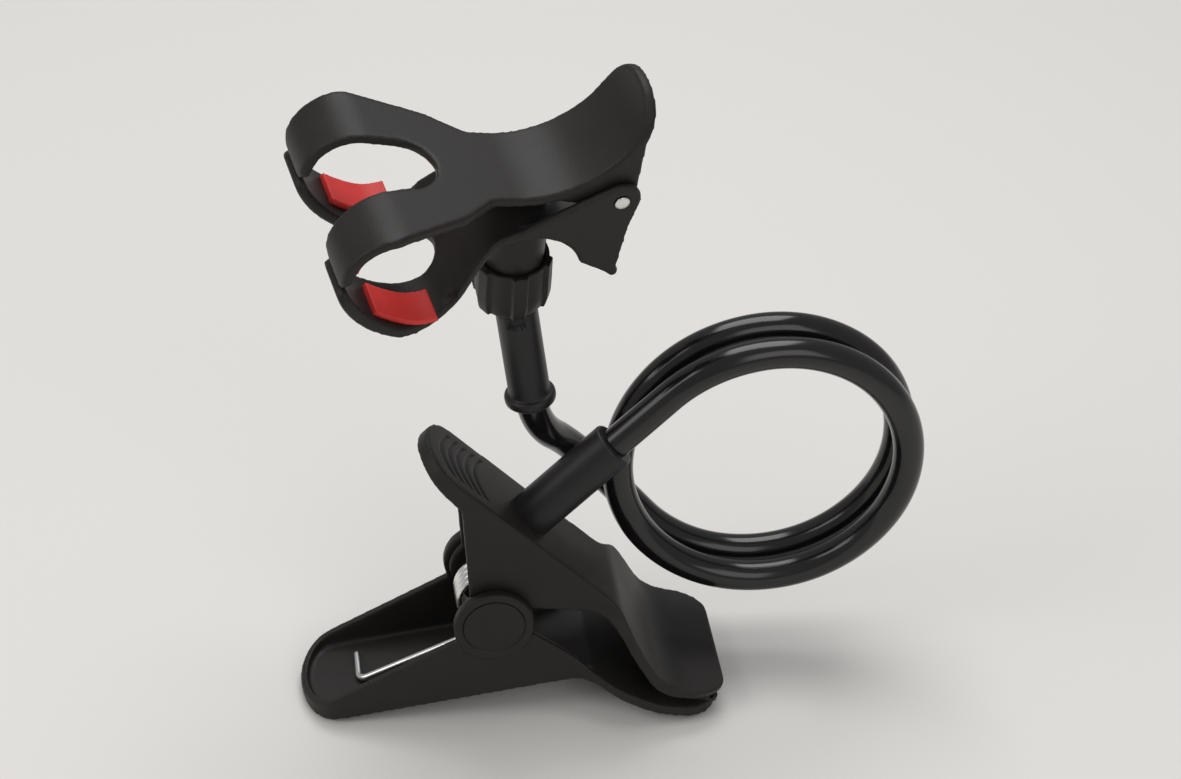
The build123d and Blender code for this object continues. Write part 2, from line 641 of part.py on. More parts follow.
def clip_plan(lever_half):
    """Plan of a clip jaw: two spread fingers, a body and one lever."""
    outer = FINGER_HALF + FINGER_W / 2
    with BuildSketch(CLIP) as plan:
        with BuildLine():
            FilletPolyline(
                (CLIP_FAR, 0), (CLIP_FAR, outer), (SPREAD_X, outer), (BODY_X, BODY_HALF),
                (WAIST_X, lever_half), (LEVER_FAR, lever_half), (LEVER_FAR, 0), radius=PLAN_R,
            )
            mirror(about=Plane.XZ)
        make_face()
    return plan.sketch


def finger_gap():
    """Plan of the gap between the fingers, round at the crotch."""
    with BuildSketch(CLIP) as gap:
        with Locations((CROTCH_X - CROTCH_R, 0)):
            Circle(CROTCH_R)
        with Locations((CLIP_FAR, 0)):
            Circle(FINGER_HALF - FINGER_W / 2)
        make_hull()
    return gap.sketch


def end_corners(jaw, point, y, thick):
    """Corner edges, as long as the jaw is thick, of the end face near a place in the clip."""
    place = CLIP.from_local_coords(Vector(point[0], y, point[1]))
    end = jaw.faces().sort_by_distance(place)[0]
    return end.edges().filter_by(lambda e: abs(e.length - thick) < SEAT_FIT)


LEVER_INNER_HALF = LEVER_HALF - CLIP_EAR_T - SLIDE_GAP

with BuildPart() as clip_lower_jaw:
    with BuildSketch(CLIP_SIDE):
        with BuildLine():
            curl = JernArc(
                along(LOWER_ARC, LOWER_ARC_END, LOWER_ARC_R), along((0, 0), LOWER_ARC_END + 90, 1),
                LOWER_ARC_R, 270 + LOWER_DIVE - LOWER_ARC_END,
            )
            dive = PolarLine(curl @ 1, LOWER_DIVE_L, LOWER_DIVE)
            saddle = JernArc(dive @ 1, dive % 1, LOWER_SADDLE_R, -2 * LOWER_DIVE)
            lever = PolarLine(saddle @ 1, LOWER_LEVER, -LOWER_DIVE)
        trace(line_width=CLIP_T)
        with BuildLine():
            inside = CenterArc(FLANK_AT, FLANK_IN, LOWER_ARC_END - FLANK_TURN, FLANK_TURN)
            outside = TangentArc(
                along(FLANK_AT, LOWER_ARC_END, FLANK_IN + CLIP_T),
                along(FLANK_AT, LOWER_ARC_END - FLANK_TURN, FLANK_IN + TIP_T),
                tangent=along((0, 0), LOWER_ARC_END - 90, 1),
            )
            Line(inside @ 0, outside @ 1)
            Line(inside @ 1, outside @ 0)
        make_face()
    extrude(amount=FINGER_HALF * 2, both=True)
    extrude(clip_plan(LEVER_HALF), amount=60, both=True, mode=Mode.INTERSECT)
    extrude(finger_gap(), amount=60, both=True, mode=Mode.SUBTRACT)
    for y in (FINGER_HALF, -FINGER_HALF):
        fillet(end_corners(clip_lower_jaw, LOWER_FINGER_TIP, y, TIP_T), TIP_ROUND)
    lever_end = along(LOWER_LEVER_FROM, -LOWER_DIVE, LOWER_LEVER)
    fillet(end_corners(clip_lower_jaw, lever_end, 0, CLIP_T), LOWER_LEVER_ROUND)
    for side in (1, -1):
        with BuildSketch(CLIP_SIDE.offset(side * LEVER_HALF)):
            Circle(CLIP_EAR_R)
            with Locations(saddle @ 0.45, saddle @ 1, lever @ 0.75):
                Circle(CLIP_T / 2 - 0.1)
            make_hull()
            with Locations(LOWER_BOW_AT):
                Circle(LOWER_SADDLE_R - CLIP_T / 2, mode=Mode.SUBTRACT)
        extrude(amount=-side * CLIP_EAR_T)
    with BuildSketch(BALL_PLANE.offset(-SOCKET_DOWN)):
        Circle(SOCKET_R)
    extrude(amount=SOCKET_DOWN + BALL_DROP + LOWER_SADDLE_Z)
    with Locations(BALL_CENTRE):
        Sphere(BOWL_R, mode=Mode.SUBTRACT)
    with BuildSketch(BALL_PLANE.offset(-SOCKET_DOWN)):
        Circle(BOWL_R)
    extrude(amount=SOCKET_DOWN, mode=Mode.SUBTRACT)
    with BuildSketch(CLIP_SIDE):
        Circle(CLIP_PIN_D / 2 + SEAT_FIT)
    extrude(amount=LEVER_HALF * 2, both=True, mode=Mode.SUBTRACT)
save(clip_lower_jaw.part, "clip_lower_jaw")

with BuildPart() as clip_upper_jaw:
    with BuildSketch(CLIP_SIDE):
        with BuildLine():
            tip = along(UPPER_ARC, UPPER_TIP_ANGLE, UPPER_ARC_R)
            turn = 90 - UPPER_DIVE - UPPER_TIP_ANGLE
            curl = JernArc(tip, along((0, 0), UPPER_TIP_ANGLE - 90, 1), UPPER_ARC_R, turn)
            dive = PolarLine(curl @ 1, UPPER_DIVE_L, -UPPER_DIVE)
            saddle = JernArc(dive @ 1, dive % 1, UPPER_SADDLE_R, UPPER_DIVE + UPPER_LEVER_SLOPE)
        trace(line_width=CLIP_T)
    extrude(amount=FINGER_HALF * 2, both=True)
    extrude(clip_plan(LEVER_INNER_HALF), amount=60, both=True, mode=Mode.INTERSECT)
    extrude(finger_gap(), amount=60, both=True, mode=Mode.SUBTRACT)
    for y in (FINGER_HALF, -FINGER_HALF):
        fillet(end_corners(clip_upper_jaw, tip, y, CLIP_T), TIP_ROUND)
    lever_end = along(UPPER_BOW_AT, UPPER_LEVER_SLOPE - 90, UPPER_SADDLE_R)
    fillet(end_corners(clip_upper_jaw, lever_end, 0, CLIP_T), UPPER_LEVER_ROUND)
    for side in (1, -1):
        with BuildSketch(CLIP_SIDE.offset(side * LEVER_INNER_HALF)):
            Circle(CLIP_EAR_R - 0.6)
            with Locations(saddle @ 0.24, saddle @ 0.78):
                Circle(CLIP_T / 2 - 0.1)
            make_hull()
            with Locations(UPPER_BOW_AT):
                Circle(UPPER_SADDLE_R, mode=Mode.SUBTRACT)
        extrude(amount=-side * CLIP_EAR_T)
    with BuildSketch(CLIP_SIDE):
        Circle(CLIP_PIN_D / 2 + RUN_FIT)
    extrude(amount=LEVER_HALF * 2, both=True, mode=Mode.SUBTRACT)
save(clip_upper_jaw.part, "clip_upper_jaw")

# Rivet through the clip's ears
with BuildPart() as clip_rivet:
    with BuildSketch(CLIP_SIDE):
        Circle(CLIP_PIN_D / 2)
    extrude(amount=LEVER_HALF, both=True)
    for side in (1, -1):
        with BuildSketch(CLIP_SIDE.offset(side * LEVER_HALF)):
            Circle(RIVET_HEAD_D / 2)
        extrude(amount=side * RIVET_HEAD_H, taper=20)
save(clip_rivet.part, "clip_rivet")

LEVER_GAP = CLIP_T / 2 + CLIP_WIRE / 2 + SEAT_FIT
CLIP_SPRING_RISE = CLIP_WIRE * 1.1
CLIP_SPRING_H = (CLIP_TURNS + 0.5) * CLIP_SPRING_RISE
UPPER_LEVER_AT = along(UPPER_BOW_AT, UPPER_SEAT_SLOPE - 90, UPPER_SADDLE_R + LEVER_GAP)
UPPER_LEVER_SEAT = CLIP.from_local_coords(
    Vector(UPPER_LEVER_AT[0], -CLIP_SPRING_H / 2, UPPER_LEVER_AT[1])
)
LOWER_LEVER_AT = along(
    along(LOWER_LEVER_FROM, -LOWER_DIVE, CLIP_SPRING_AT), 90 - LOWER_DIVE, LEVER_GAP
)
LOWER_LEVER_SEAT = CLIP.from_local_coords(
    Vector(LOWER_LEVER_AT[0], CLIP_SPRING_H / 2, LOWER_LEVER_AT[1])
)
LOOP_PLANE = Plane(origin=CLIP_ORIGIN - CLIP_Y * CLIP_SPRING_H / 2, x_dir=CLIP_Z, z_dir=CLIP_Y)

# Torsion spring on the rivet: its arms push the two levers apart
with BuildPart() as clip_spring:
    with BuildLine() as loops:
        add(LOOP_PLANE.location * Helix(
            CLIP_SPRING_RISE, CLIP_SPRING_H, CLIP_COIL_R, lefthand=True, mode=Mode.PRIVATE
        ))
    with BuildSketch(Plane(origin=loops.line @ 0, z_dir=loops.line % 0)):
        Circle(CLIP_WIRE / 2)
    sweep(path=loops.line, is_frenet=True)
    for end, seat in ((loops.line @ 0, UPPER_LEVER_SEAT), (loops.line @ 1, LOWER_LEVER_SEAT)):
        run = seat - end
        with BuildSketch(Plane(origin=end, z_dir=run)):
            Circle(CLIP_WIRE / 2)
        extrude(amount=run.length)
        with Locations(seat, end):
            Sphere(CLIP_WIRE / 2)
save(clip_spring.part, "clip_spring")


PAD_IN = CLIP_T / 2 + SEAT_FIT + PAD_T / 2


def upper_pad(y):
    """Soft pad curled inside one upper finger."""
    with BuildPart() as pad:
        with BuildSketch(CLIP_SIDE.offset(-y)):
            with BuildLine():
                CenterArc(UPPER_ARC, UPPER_ARC_R - PAD_IN, UPPER_PAD_FROM, -PAD_SWEEP)
            trace(line_width=PAD_T)
        extrude(amount=PAD_W / 2, both=True)
    return pad.part


def lower_pad(y):
    """Soft pad in the bottom of one lower finger and up its flank."""
    with BuildPart() as pad:
        with BuildSketch(CLIP_SIDE.offset(-y)):
            with BuildLine():
                start = along(LOWER_ARC, LOWER_PAD_FROM, LOWER_ARC_R - PAD_IN)
                heading = along((0, 0), LOWER_PAD_FROM - 90, 1)
                floor = JernArc(start, heading, LOWER_ARC_R - PAD_IN, LOWER_ARC_END - LOWER_PAD_FROM)
                JernArc(floor @ 1, floor % 1, FLANK_R - PAD_IN, -PAD_UP_FLANK)
            trace(line_width=PAD_T)
        extrude(amount=PAD_W / 2, both=True)
    return pad.part


for name, y in (("front", -PAD_Y), ("rear", PAD_Y)):
    save(lower_pad(y), f"lower_{name}_pad")
    save(upper_pad(y), f"upper_{name}_pad")
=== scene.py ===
# %% [markdown]
# # Gooseneck phone holder
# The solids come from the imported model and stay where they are. This lesson gives them a camera,
# soft light and procedural finishes, and adds the forms that read best as worked-out surfaces.

# %% Load the frame
import json
import math
import bmesh
import bpy
import numpy as np
from mathutils import Matrix, Vector


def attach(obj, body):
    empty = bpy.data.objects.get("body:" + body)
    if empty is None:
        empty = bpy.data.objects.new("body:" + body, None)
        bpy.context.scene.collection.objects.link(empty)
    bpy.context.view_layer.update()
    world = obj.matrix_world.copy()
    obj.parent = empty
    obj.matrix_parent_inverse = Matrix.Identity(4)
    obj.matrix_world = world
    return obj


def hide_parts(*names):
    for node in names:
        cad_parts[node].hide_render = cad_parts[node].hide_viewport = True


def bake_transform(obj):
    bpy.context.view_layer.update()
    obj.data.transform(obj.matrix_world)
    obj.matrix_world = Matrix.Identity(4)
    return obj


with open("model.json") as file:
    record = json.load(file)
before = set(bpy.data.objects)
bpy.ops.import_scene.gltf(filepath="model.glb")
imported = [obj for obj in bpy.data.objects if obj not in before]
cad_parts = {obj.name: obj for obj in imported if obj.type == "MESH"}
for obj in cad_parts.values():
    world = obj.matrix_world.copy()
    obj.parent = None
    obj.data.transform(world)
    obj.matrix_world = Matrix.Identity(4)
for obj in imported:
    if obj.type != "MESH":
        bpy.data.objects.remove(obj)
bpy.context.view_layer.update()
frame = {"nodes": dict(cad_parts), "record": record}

nodes = frame["nodes"]
record = frame["record"]
slots = {s["node"]: s["material_slot"] for s in record["subparts"]}
body_of = {n: b for b, members in record["behaviour"]["bodies"].items() for n in members}

# %% [markdown]
# ## Camera
# The holder is seen from the near side of the table, from about 35 degrees up and a little to the
# left. A long lens keeps the coil round. The camera is placed by three directions: right, up and
# the way it looks.

# %% Camera
def aim(turn, drop, roll):
    """Right, up and forward unit vectors: forward is turned about Z and dropped below level,
    and right and up are then rolled about it."""
    right = np.array([math.cos(turn), -math.sin(turn), 0.0])
    level = np.array([math.sin(turn), math.cos(turn), 0.0])
    forward = level * math.cos(drop) - np.array([0.0, 0.0, math.sin(drop)])
    up = level * math.sin(drop) + np.array([0.0, 0.0, math.cos(drop)])
    rolled_right = right * math.cos(roll) - up * math.sin(roll)
    rolled_up = right * math.sin(roll) + up * math.cos(roll)
    return rolled_right, rolled_up, forward


PIVOT_X = 0.0517966
VIEW_TURN, VIEW_DROP, VIEW_ROLL = math.radians(9.37), math.radians(34.93), math.radians(-2.96)
EYE_RIGHT, EYE_UP, EYE_BACK = 0.02642, 0.08636, 0.8806
FOCAL_PIXELS, IMAGE_PIXELS, SENSOR_MM = 3000.0, 1181.0, 36.0
view_right, view_up, view_forward = aim(VIEW_TURN, VIEW_DROP, 0.0)
eye = EYE_RIGHT * view_right + EYE_UP * view_up - EYE_BACK * view_forward
eye = eye + np.array([PIVOT_X, 0.0, 0.0])
cam_right, cam_up, cam_forward = aim(VIEW_TURN, VIEW_DROP, VIEW_ROLL)
camera_data = bpy.data.cameras.new("photo_camera")
camera_data.sensor_width = SENSOR_MM
camera_data.lens = FOCAL_PIXELS * SENSOR_MM / IMAGE_PIXELS
camera_data.clip_end = 20.0
camera = bpy.data.objects.new("photo_camera", camera_data)
bpy.context.scene.collection.objects.link(camera)
camera.matrix_world = Matrix((
    (cam_right[0], cam_up[0], -cam_forward[0], eye[0]),
    (cam_right[1], cam_up[1], -cam_forward[1], eye[1]),
    (cam_right[2], cam_up[2], -cam_forward[2], eye[2]),
    (0, 0, 0, 1),
))
bpy.context.scene.camera = camera
print("camera at", eye.round(3))

# %% [markdown]
# ## Floor and light
# A pale floor takes the soft shadow. One large panel above and behind draws the long gleams on the
# arm, and two weaker panels fill the near sides.

# %% Floor and light
def plain_material(name, colour, rough):
    """One Principled surface with a set colour and roughness."""
    made = bpy.data.materials.new(name)
    made.use_nodes = True
    shader = made.node_tree.nodes["Principled BSDF"]
    shader.inputs["Base Color"].default_value = (*colour, 1)
    shader.inputs["Roughness"].default_value = rough
    return made


def grid_mesh(name, points, wrap_u=False, wrap_v=False, capped=False):
    """Mesh from a grid of points (rows, columns, 3): each cell is one quad, a wrapped direction
    joins its last line to its first, and caps close the first and last rings."""
    rows, cols = points.shape[:2]
    r = np.arange(rows if wrap_u else rows - 1)
    c = np.arange(cols if wrap_v else cols - 1)
    a, b = np.meshgrid(r, c, indexing="ij")
    a2, b2 = (a + 1) % rows, (b + 1) % cols
    quads = np.stack([a * cols + b, a2 * cols + b, a2 * cols + b2, a * cols + b2], -1)
    faces = quads.reshape(-1, 4).tolist()
    if capped:
        ring = np.arange(cols)
        faces += [ring.tolist(), (ring[::-1] + (rows - 1) * cols).tolist()]
    mesh = bpy.data.meshes.new(name)
    mesh.from_pydata(points.reshape(-1, 3).tolist(), [], faces)
    mesh.update()
    return mesh


def add_object(name, mesh, material):
    """Link a mesh as an object at the origin, smooth, with one material."""
    mesh.polygons.foreach_set("use_smooth", np.ones(len(mesh.polygons), bool))
    mesh.materials.append(material)
    made = bpy.data.objects.new(name, mesh)
    bpy.context.scene.collection.objects.link(made)
    return made


FLOOR_HALF, FLOOR_COLOUR, FLOOR_ROUGH = 4.0, (0.74, 0.72, 0.69), 0.6
span = np.linspace(-FLOOR_HALF, FLOOR_HALF, 9)
flat = np.stack(np.meshgrid(span, span, indexing="ij"), -1)
floor_points = np.concatenate([flat, np.zeros(flat.shape[:2] + (1,))], -1)
floor_pale = plain_material("floor_pale", FLOOR_COLOUR, FLOOR_ROUGH)
floor = add_object("floor", grid_mesh("floor", floor_points), floor_pale)


def panel(name, place, target, size, watts, colour):
    """Square area light at a place, facing a target."""
    lamp = bpy.data.lights.new(name, "AREA")
    lamp.energy = watts
    lamp.size = size
    lamp.color = colour
    made = bpy.data.objects.new(name, lamp)
    made.location = place
    made.rotation_euler = (Vector(target) - Vector(place)).to_track_quat("-Z", "Y").to_euler()
    bpy.context.scene.collection.objects.link(made)


MIDDLE, WHITE, WARM = (0.07, 0.0, 0.08), (1.0, 1.0, 1.0), (1.0, 0.98, 0.95)
ROOM_COLOUR, ROOM_STRENGTH = (0.92, 0.93, 0.95), 0.38
# Each panel: name, place, size in metres, watts, colour
PANELS = (
    ("sky_panel", (0.15, 0.40, 1.25), 0.9, 10.0, WHITE),
    ("left_panel", (-1.0, -0.3, 0.9), 0.7, 4.0, WARM),
    ("near_panel", (0.5, -1.1, 0.8), 0.8, 3.0, WHITE),
)
for name, place, size, watts, colour in PANELS:
    panel(name, place, MIDDLE, size, watts, colour)
world = bpy.data.worlds.new("soft_room")
world.use_nodes = True
room = world.node_tree.nodes["Background"]
room.inputs["Color"].default_value = (*ROOM_COLOUR, 1)
room.inputs["Strength"].default_value = ROOM_STRENGTH
bpy.context.scene.world = world
bpy.context.scene.view_settings.view_transform = "Standard"
print("floor, panels and room light made")

# %% [markdown]
# ## Shared surface effects
# Moulded plastic is never one flat colour: the tool leaves a fine grain, and handling leaves faint
# cloudy patches. One shader node group makes both, and hands out the clouds and a height.

# %% Grain group
def new_group(name, inputs, outputs):
    """Empty shader group with float inputs (name, value) and float outputs."""
    group = bpy.data.node_groups.new(name, "ShaderNodeTree")
    for label, value in inputs:
        socket = group.interface.new_socket(label, in_out="INPUT", socket_type="NodeSocketFloat")
        socket.default_value = value
    for label in outputs:
        group.interface.new_socket(label, in_out="OUTPUT", socket_type="NodeSocketFloat")
    return group, group.nodes.new("NodeGroupInput"), group.nodes.new("NodeGroupOutput")


def math_node(tree, kind, first, second):
    """Math node whose two inputs are numbers or sockets."""
    made = tree.nodes.new("ShaderNodeMath")
    made.operation = kind
    for slot, value in enumerate((first, second)):
        if isinstance(value, (int, float)):
            made.inputs[slot].default_value = value
        else:
            tree.links.new(value, made.inputs[slot])
    return made.outputs[0]


GRAIN_SCALE, CLOUD_SCALE, CLOUD_RANGE, CLOUD_HEIGHT = 2600.0, 26.0, (0.35, 0.68), 0.15


def moulded_grain():
    """Fine noise for the tool's grain and broad noise for handling. Clouds is the broad noise
    spread over 0 to 1, and Height is the fine noise plus a share of the broad."""
    inputs = (("Grain per metre", GRAIN_SCALE), ("Cloud per metre", CLOUD_SCALE))
    group, source, sink = new_group("moulded_grain", inputs, ("Clouds", "Height"))
    place = group.nodes.new("ShaderNodeTexCoord").outputs["Object"]
    fine = group.nodes.new("ShaderNodeTexNoise")
    fine.inputs["Detail"].default_value = 2.0
    broad = group.nodes.new("ShaderNodeTexNoise")
    broad.inputs["Detail"].default_value = 4.0
    broad.inputs["Roughness"].default_value = 0.6
    for made, label in ((fine, "Grain per metre"), (broad, "Cloud per metre")):
        group.links.new(place, made.inputs["Vector"])
        group.links.new(source.outputs[label], made.inputs["Scale"])
    clouds = group.nodes.new("ShaderNodeMapRange")
    clouds.inputs["From Min"].default_value = CLOUD_RANGE[0]
    clouds.inputs["From Max"].default_value = CLOUD_RANGE[1]
    group.links.new(broad.outputs["Fac"], clouds.inputs["Value"])
    group.links.new(clouds.outputs["Result"], sink.inputs["Clouds"])
    swell = math_node(group, "MULTIPLY", broad.outputs["Fac"], CLOUD_HEIGHT)
    height = math_node(group, "ADD", fine.outputs["Fac"], swell)
    group.links.new(height, sink.inputs["Height"])
    return group


GRAIN = moulded_grain()
print("group", GRAIN.name)

# %% [markdown]
# ## Finishes
# One function builds each plastic or rubber from two close colours, two roughnesses and a grain
# depth. Clouds move between the colours, so light breaks up as on the real mouldings.

# %% Finishes
BUMP_STRENGTH = 0.6


def grained(name, dark, pale, rough, grain, depth, cloud=CLOUD_SCALE, shine=0.5):
    """Principled surface: colour and roughness mixed by clouds, bump from the grain."""
    made = bpy.data.materials.new(name)
    made.use_nodes = True
    tree = made.node_tree
    shader = tree.nodes["Principled BSDF"]
    effect = tree.nodes.new("ShaderNodeGroup")
    effect.node_tree = GRAIN
    effect.inputs["Grain per metre"].default_value = grain
    effect.inputs["Cloud per metre"].default_value = cloud
    tint = tree.nodes.new("ShaderNodeMix")
    tint.data_type = "RGBA"
    tint.inputs["A"].default_value = (*dark, 1)
    tint.inputs["B"].default_value = (*pale, 1)
    tree.links.new(effect.outputs["Clouds"], tint.inputs["Factor"])
    tree.links.new(tint.outputs["Result"], shader.inputs["Base Color"])
    spread = tree.nodes.new("ShaderNodeMapRange")
    spread.inputs["To Min"].default_value = rough[0]
    spread.inputs["To Max"].default_value = rough[1]
    tree.links.new(effect.outputs["Clouds"], spread.inputs["Value"])
    tree.links.new(spread.outputs["Result"], shader.inputs["Roughness"])
    bump = tree.nodes.new("ShaderNodeBump")
    bump.inputs["Distance"].default_value = depth
    bump.inputs["Strength"].default_value = BUMP_STRENGTH
    tree.links.new(effect.outputs["Height"], bump.inputs["Height"])
    tree.links.new(bump.outputs["Normal"], shader.inputs["Normal"])
    shader.inputs["Specular IOR Level"].default_value = shine
    return made


METAL_SHADE, METAL_GRAIN, METAL_DEPTH, METAL_CLOUD = 0.8, 900.0, 0.00002, 120.0


def drawn_wire(name, colour, rough):
    """Bright metal: full metallic, with the grain's clouds moving colour and roughness."""
    shade = tuple(METAL_SHADE * c for c in colour)
    made = grained(name, colour, shade, rough, METAL_GRAIN, METAL_DEPTH, METAL_CLOUD)
    made.node_tree.nodes["Principled BSDF"].inputs["Metallic"].default_value = 1.0
    return made


satin_black = grained(
    "satin_black", (0.0140, 0.0124, 0.0114), (0.0205, 0.0184, 0.0172), (0.42, 0.54),
    GRAIN_SCALE, 0.00008, shine=0.26,
)
sleeve_black = grained(
    "sleeve_black", (0.0105, 0.0103, 0.0104), (0.0155, 0.0152, 0.0155), (0.36, 0.44),
    1500.0, 0.00003, shine=0.32,
)
arm_black = grained(
    "arm_black", (0.006, 0.006, 0.006), (0.009, 0.009, 0.009), (0.14, 0.20), 300.0, 0.00002, 60.0
)
spring_steel = drawn_wire("spring_steel", (0.84, 0.83, 0.81), (0.24, 0.36))
core_metal = drawn_wire("core_metal", (0.8, 0.8, 0.81), (0.3, 0.42))
grip_rubber = grained(
    "grip_rubber", (0.014, 0.014, 0.014), (0.021, 0.021, 0.021), (0.62, 0.75), 1800.0, 0.00006
)
red_pad = grained(
    "red_pad", (0.62, 0.033, 0.028), (0.72, 0.052, 0.042), (0.46, 0.56),
    1600.0, 0.00004, 60.0, shine=0.3,
)

FINISH = {
    "plastic": satin_black, "sleeve": sleeve_black, "pvc": arm_black, "core": core_metal,
    "steel": spring_steel, "rubber": grip_rubber, "red_pad": red_pad,
}
for name, made in nodes.items():
    made.data.materials.clear()
    made.data.materials.append(FINISH[slots[name]])
print("finishes on", len(slots), "nodes")

# %% [markdown]
# ## The bendable arm
# On the real holder this is a thick wire in a glossy sleeve, wound almost twice. A circle carried
# along the arm's own line gives a far smoother gleam than flat facets. The line is straight out of
# the socket, then a helix about Y, a straight neck and two arcs into the stem.

# %% Arm line
def side_point(place, angle, distance):
    """Point in the XZ side view at an angle and distance from another."""
    return place + distance * np.array([math.cos(angle), 0.0, math.sin(angle)])


UPPER_SLOPE = math.radians(-43.9)
PIVOT_Z, UPPER_RISE, SOCKET_BACK, SOCKET_RUN, SLEEVE_FROM = 0.0332654, 0.027, 0.010, 0.054, 0.0045
pivot = np.array([PIVOT_X, 0.0, PIVOT_Z])
upper_foot = side_point(pivot, UPPER_SLOPE + math.pi / 2, UPPER_RISE)
socket_foot = side_point(upper_foot, UPPER_SLOPE, -SOCKET_BACK)
socket_way = np.array([-math.sin(UPPER_SLOPE), 0.0, math.cos(UPPER_SLOPE)])
socket_across = np.array([math.cos(UPPER_SLOPE), 0.0, math.sin(UPPER_SLOPE)])
COIL_R, COIL_PITCH, NECK_LEAN = 0.0416, 0.0125, math.radians(40.0)
coil_start = socket_foot + socket_way * SOCKET_RUN
coil_middle = coil_start + socket_across * COIL_R
COIL_FROM = math.pi + UPPER_SLOPE
COIL_SWEEP = COIL_FROM + math.pi - NECK_LEAN + 2 * math.pi
LEAD_IN = COIL_SWEEP / 15


def coil_line(turned):
    """Helix about Y: the angle falls from COIL_FROM, and the lead grows as the square of the
    turn over LEAD_IN and evenly after it."""
    a = COIL_FROM - turned
    grown = np.where(turned < LEAD_IN, turned ** 2 / (2 * LEAD_IN), turned - LEAD_IN / 2)
    lead = grown * COIL_PITCH / (2 * math.pi)
    return coil_middle + np.stack([COIL_R * np.cos(a), lead, COIL_R * np.sin(a)], -1)


def arc_between(start, way, end, count):
    """Points of the circle arc that leaves start along a heading and ends at end, and its last
    heading. Its radius is the chord over twice the sine of the angle from heading to chord."""
    chord = end - start
    along = np.dot(chord, way)
    side = chord - along * way
    half = math.atan2(np.linalg.norm(side), along)
    side = side / np.linalg.norm(side)
    radius = np.linalg.norm(chord) / (2 * math.sin(half))
    t = np.linspace(0, 2 * half, count)[:, None]
    points = start + radius * (np.sin(t) * way + (1 - np.cos(t)) * side)
    return points, math.cos(2 * half) * way + math.sin(2 * half) * side


def arc_middle(start, out, end, arrive):
    """Where two tangent arcs meet: both reach the same distance along their end headings."""
    span, bend = end - start, 2 * (1 - np.dot(out, arrive))
    both = np.dot(span, out + arrive)
    reach = (math.sqrt(both * both + bend * np.dot(span, span)) - both) / bend
    return (start + end) / 2 + (out - arrive) * reach / 2


NECK_L, STEM_GRIP = 0.022, 0.0245
STEM_FROM, STEM_WAY = (0.0118, 0.0125, 0.0925), (-0.16, -0.02, 0.985)
COIL_STEPS, SOCKET_STEPS, NECK_STEPS, ARC_STEPS, GRIP_STEPS = 420, 40, 30, 40, 12
coil = coil_line(np.linspace(0, COIL_SWEEP, COIL_STEPS))
leave = coil[-1] - coil[-2]
leave = leave / np.linalg.norm(leave)
neck_end = coil[-1] + leave * NECK_L
stem_foot = np.array([PIVOT_X, 0.0, 0.0]) + STEM_FROM
stem_way = np.array(STEM_WAY) / np.linalg.norm(STEM_WAY)
meet = arc_middle(neck_end, leave, stem_foot, stem_way)
bow, heading = arc_between(neck_end, leave, meet, ARC_STEPS)
rise = arc_between(meet, heading, stem_foot, ARC_STEPS)[0]
arm_line = np.concatenate([
    np.linspace(socket_foot + socket_way * SLEEVE_FROM, coil_start, SOCKET_STEPS)[:-1], coil[:-1],
    np.linspace(coil[-1], neck_end, NECK_STEPS)[:-1], bow[:-1], rise[:-1],
    np.linspace(stem_foot, stem_foot + stem_way * STEM_GRIP, GRIP_STEPS),
])
arm_steps = np.linalg.norm(np.diff(arm_line, axis=0), axis=1)
print("arm line", len(arm_line), "points, length", arm_steps.sum().round(4))

# %% [markdown]
# The sleeve is a circle carried along that line. Its radius swells and shrinks by a hair over each
# few centimetres, as a sleeve drawn over wound wire does, so the gleams are not dead straight.

# %% Arm sleeve
def tube_points(line, radius, around):
    """Circle carried along a line: each ring lies across the heading, and its first direction
    is the last ring's, turned as little as possible."""
    way = np.gradient(line, axis=0)
    way = way / np.linalg.norm(way, axis=1, keepdims=True)
    first = np.cross(way[0], np.eye(3)[np.argmin(np.abs(way[0]))])
    frames = [first / np.linalg.norm(first)]
    for step in way[1:]:
        kept = frames[-1] - np.dot(frames[-1], step) * step
        frames.append(kept / np.linalg.norm(kept))
    side = np.array(frames)
    up = np.cross(side, way)
    t = np.linspace(0, 2 * math.pi, around, endpoint=False)
    ring = np.cos(t)[None, :, None] * side[:, None] + np.sin(t)[None, :, None] * up[:, None]
    return line[:, None] + np.reshape(radius, (-1, 1, 1)) * ring


SLEEVE_R, RIPPLE_H, RIPPLE_L, SLEEVE_SIDES = 0.00448, 0.00002, 0.031, 48
arm_run = np.concatenate([[0.0], np.cumsum(arm_steps)])
ripple = SLEEVE_R + RIPPLE_H * np.sin(arm_run * 2 * math.pi / RIPPLE_L)
arm_tube = tube_points(arm_line, ripple, SLEEVE_SIDES)
arm_mesh = grid_mesh("goose_arm", arm_tube, wrap_v=True, capped=True)
goose_arm = add_object("goose_arm", arm_mesh, arm_black)
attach(goose_arm, "arm")
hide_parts("arm_sleeve")
print("arm sleeve", len(goose_arm.data.polygons), "faces")

# %% [markdown]
# ## Places on the mouldings
# The next steps press small forms into the jaws, so each needs the jaw's own axes. The clip's axes
# come from the way it faces and the way up it stands, and its origin is the rivet. Each clamp jaw
# has a bill that slopes down to the mouth, and the upper handle is a flat slope.

# %% Places on the mouldings
def axes_from(facing, up):
    """Three unit rows: along the facing, across it, and square to both on the up side."""
    along = np.array(facing) / np.linalg.norm(facing)
    sideways = np.cross(up, along)
    sideways = sideways / np.linalg.norm(sideways)
    return np.stack([along, sideways, np.cross(along, sideways)])


def slope_axes(angle):
    """Axes of a surface that slopes along X by an angle."""
    facing = (math.cos(angle), 0.0, math.sin(angle))
    return axes_from(facing, (-math.sin(angle), 0.0, math.cos(angle)))


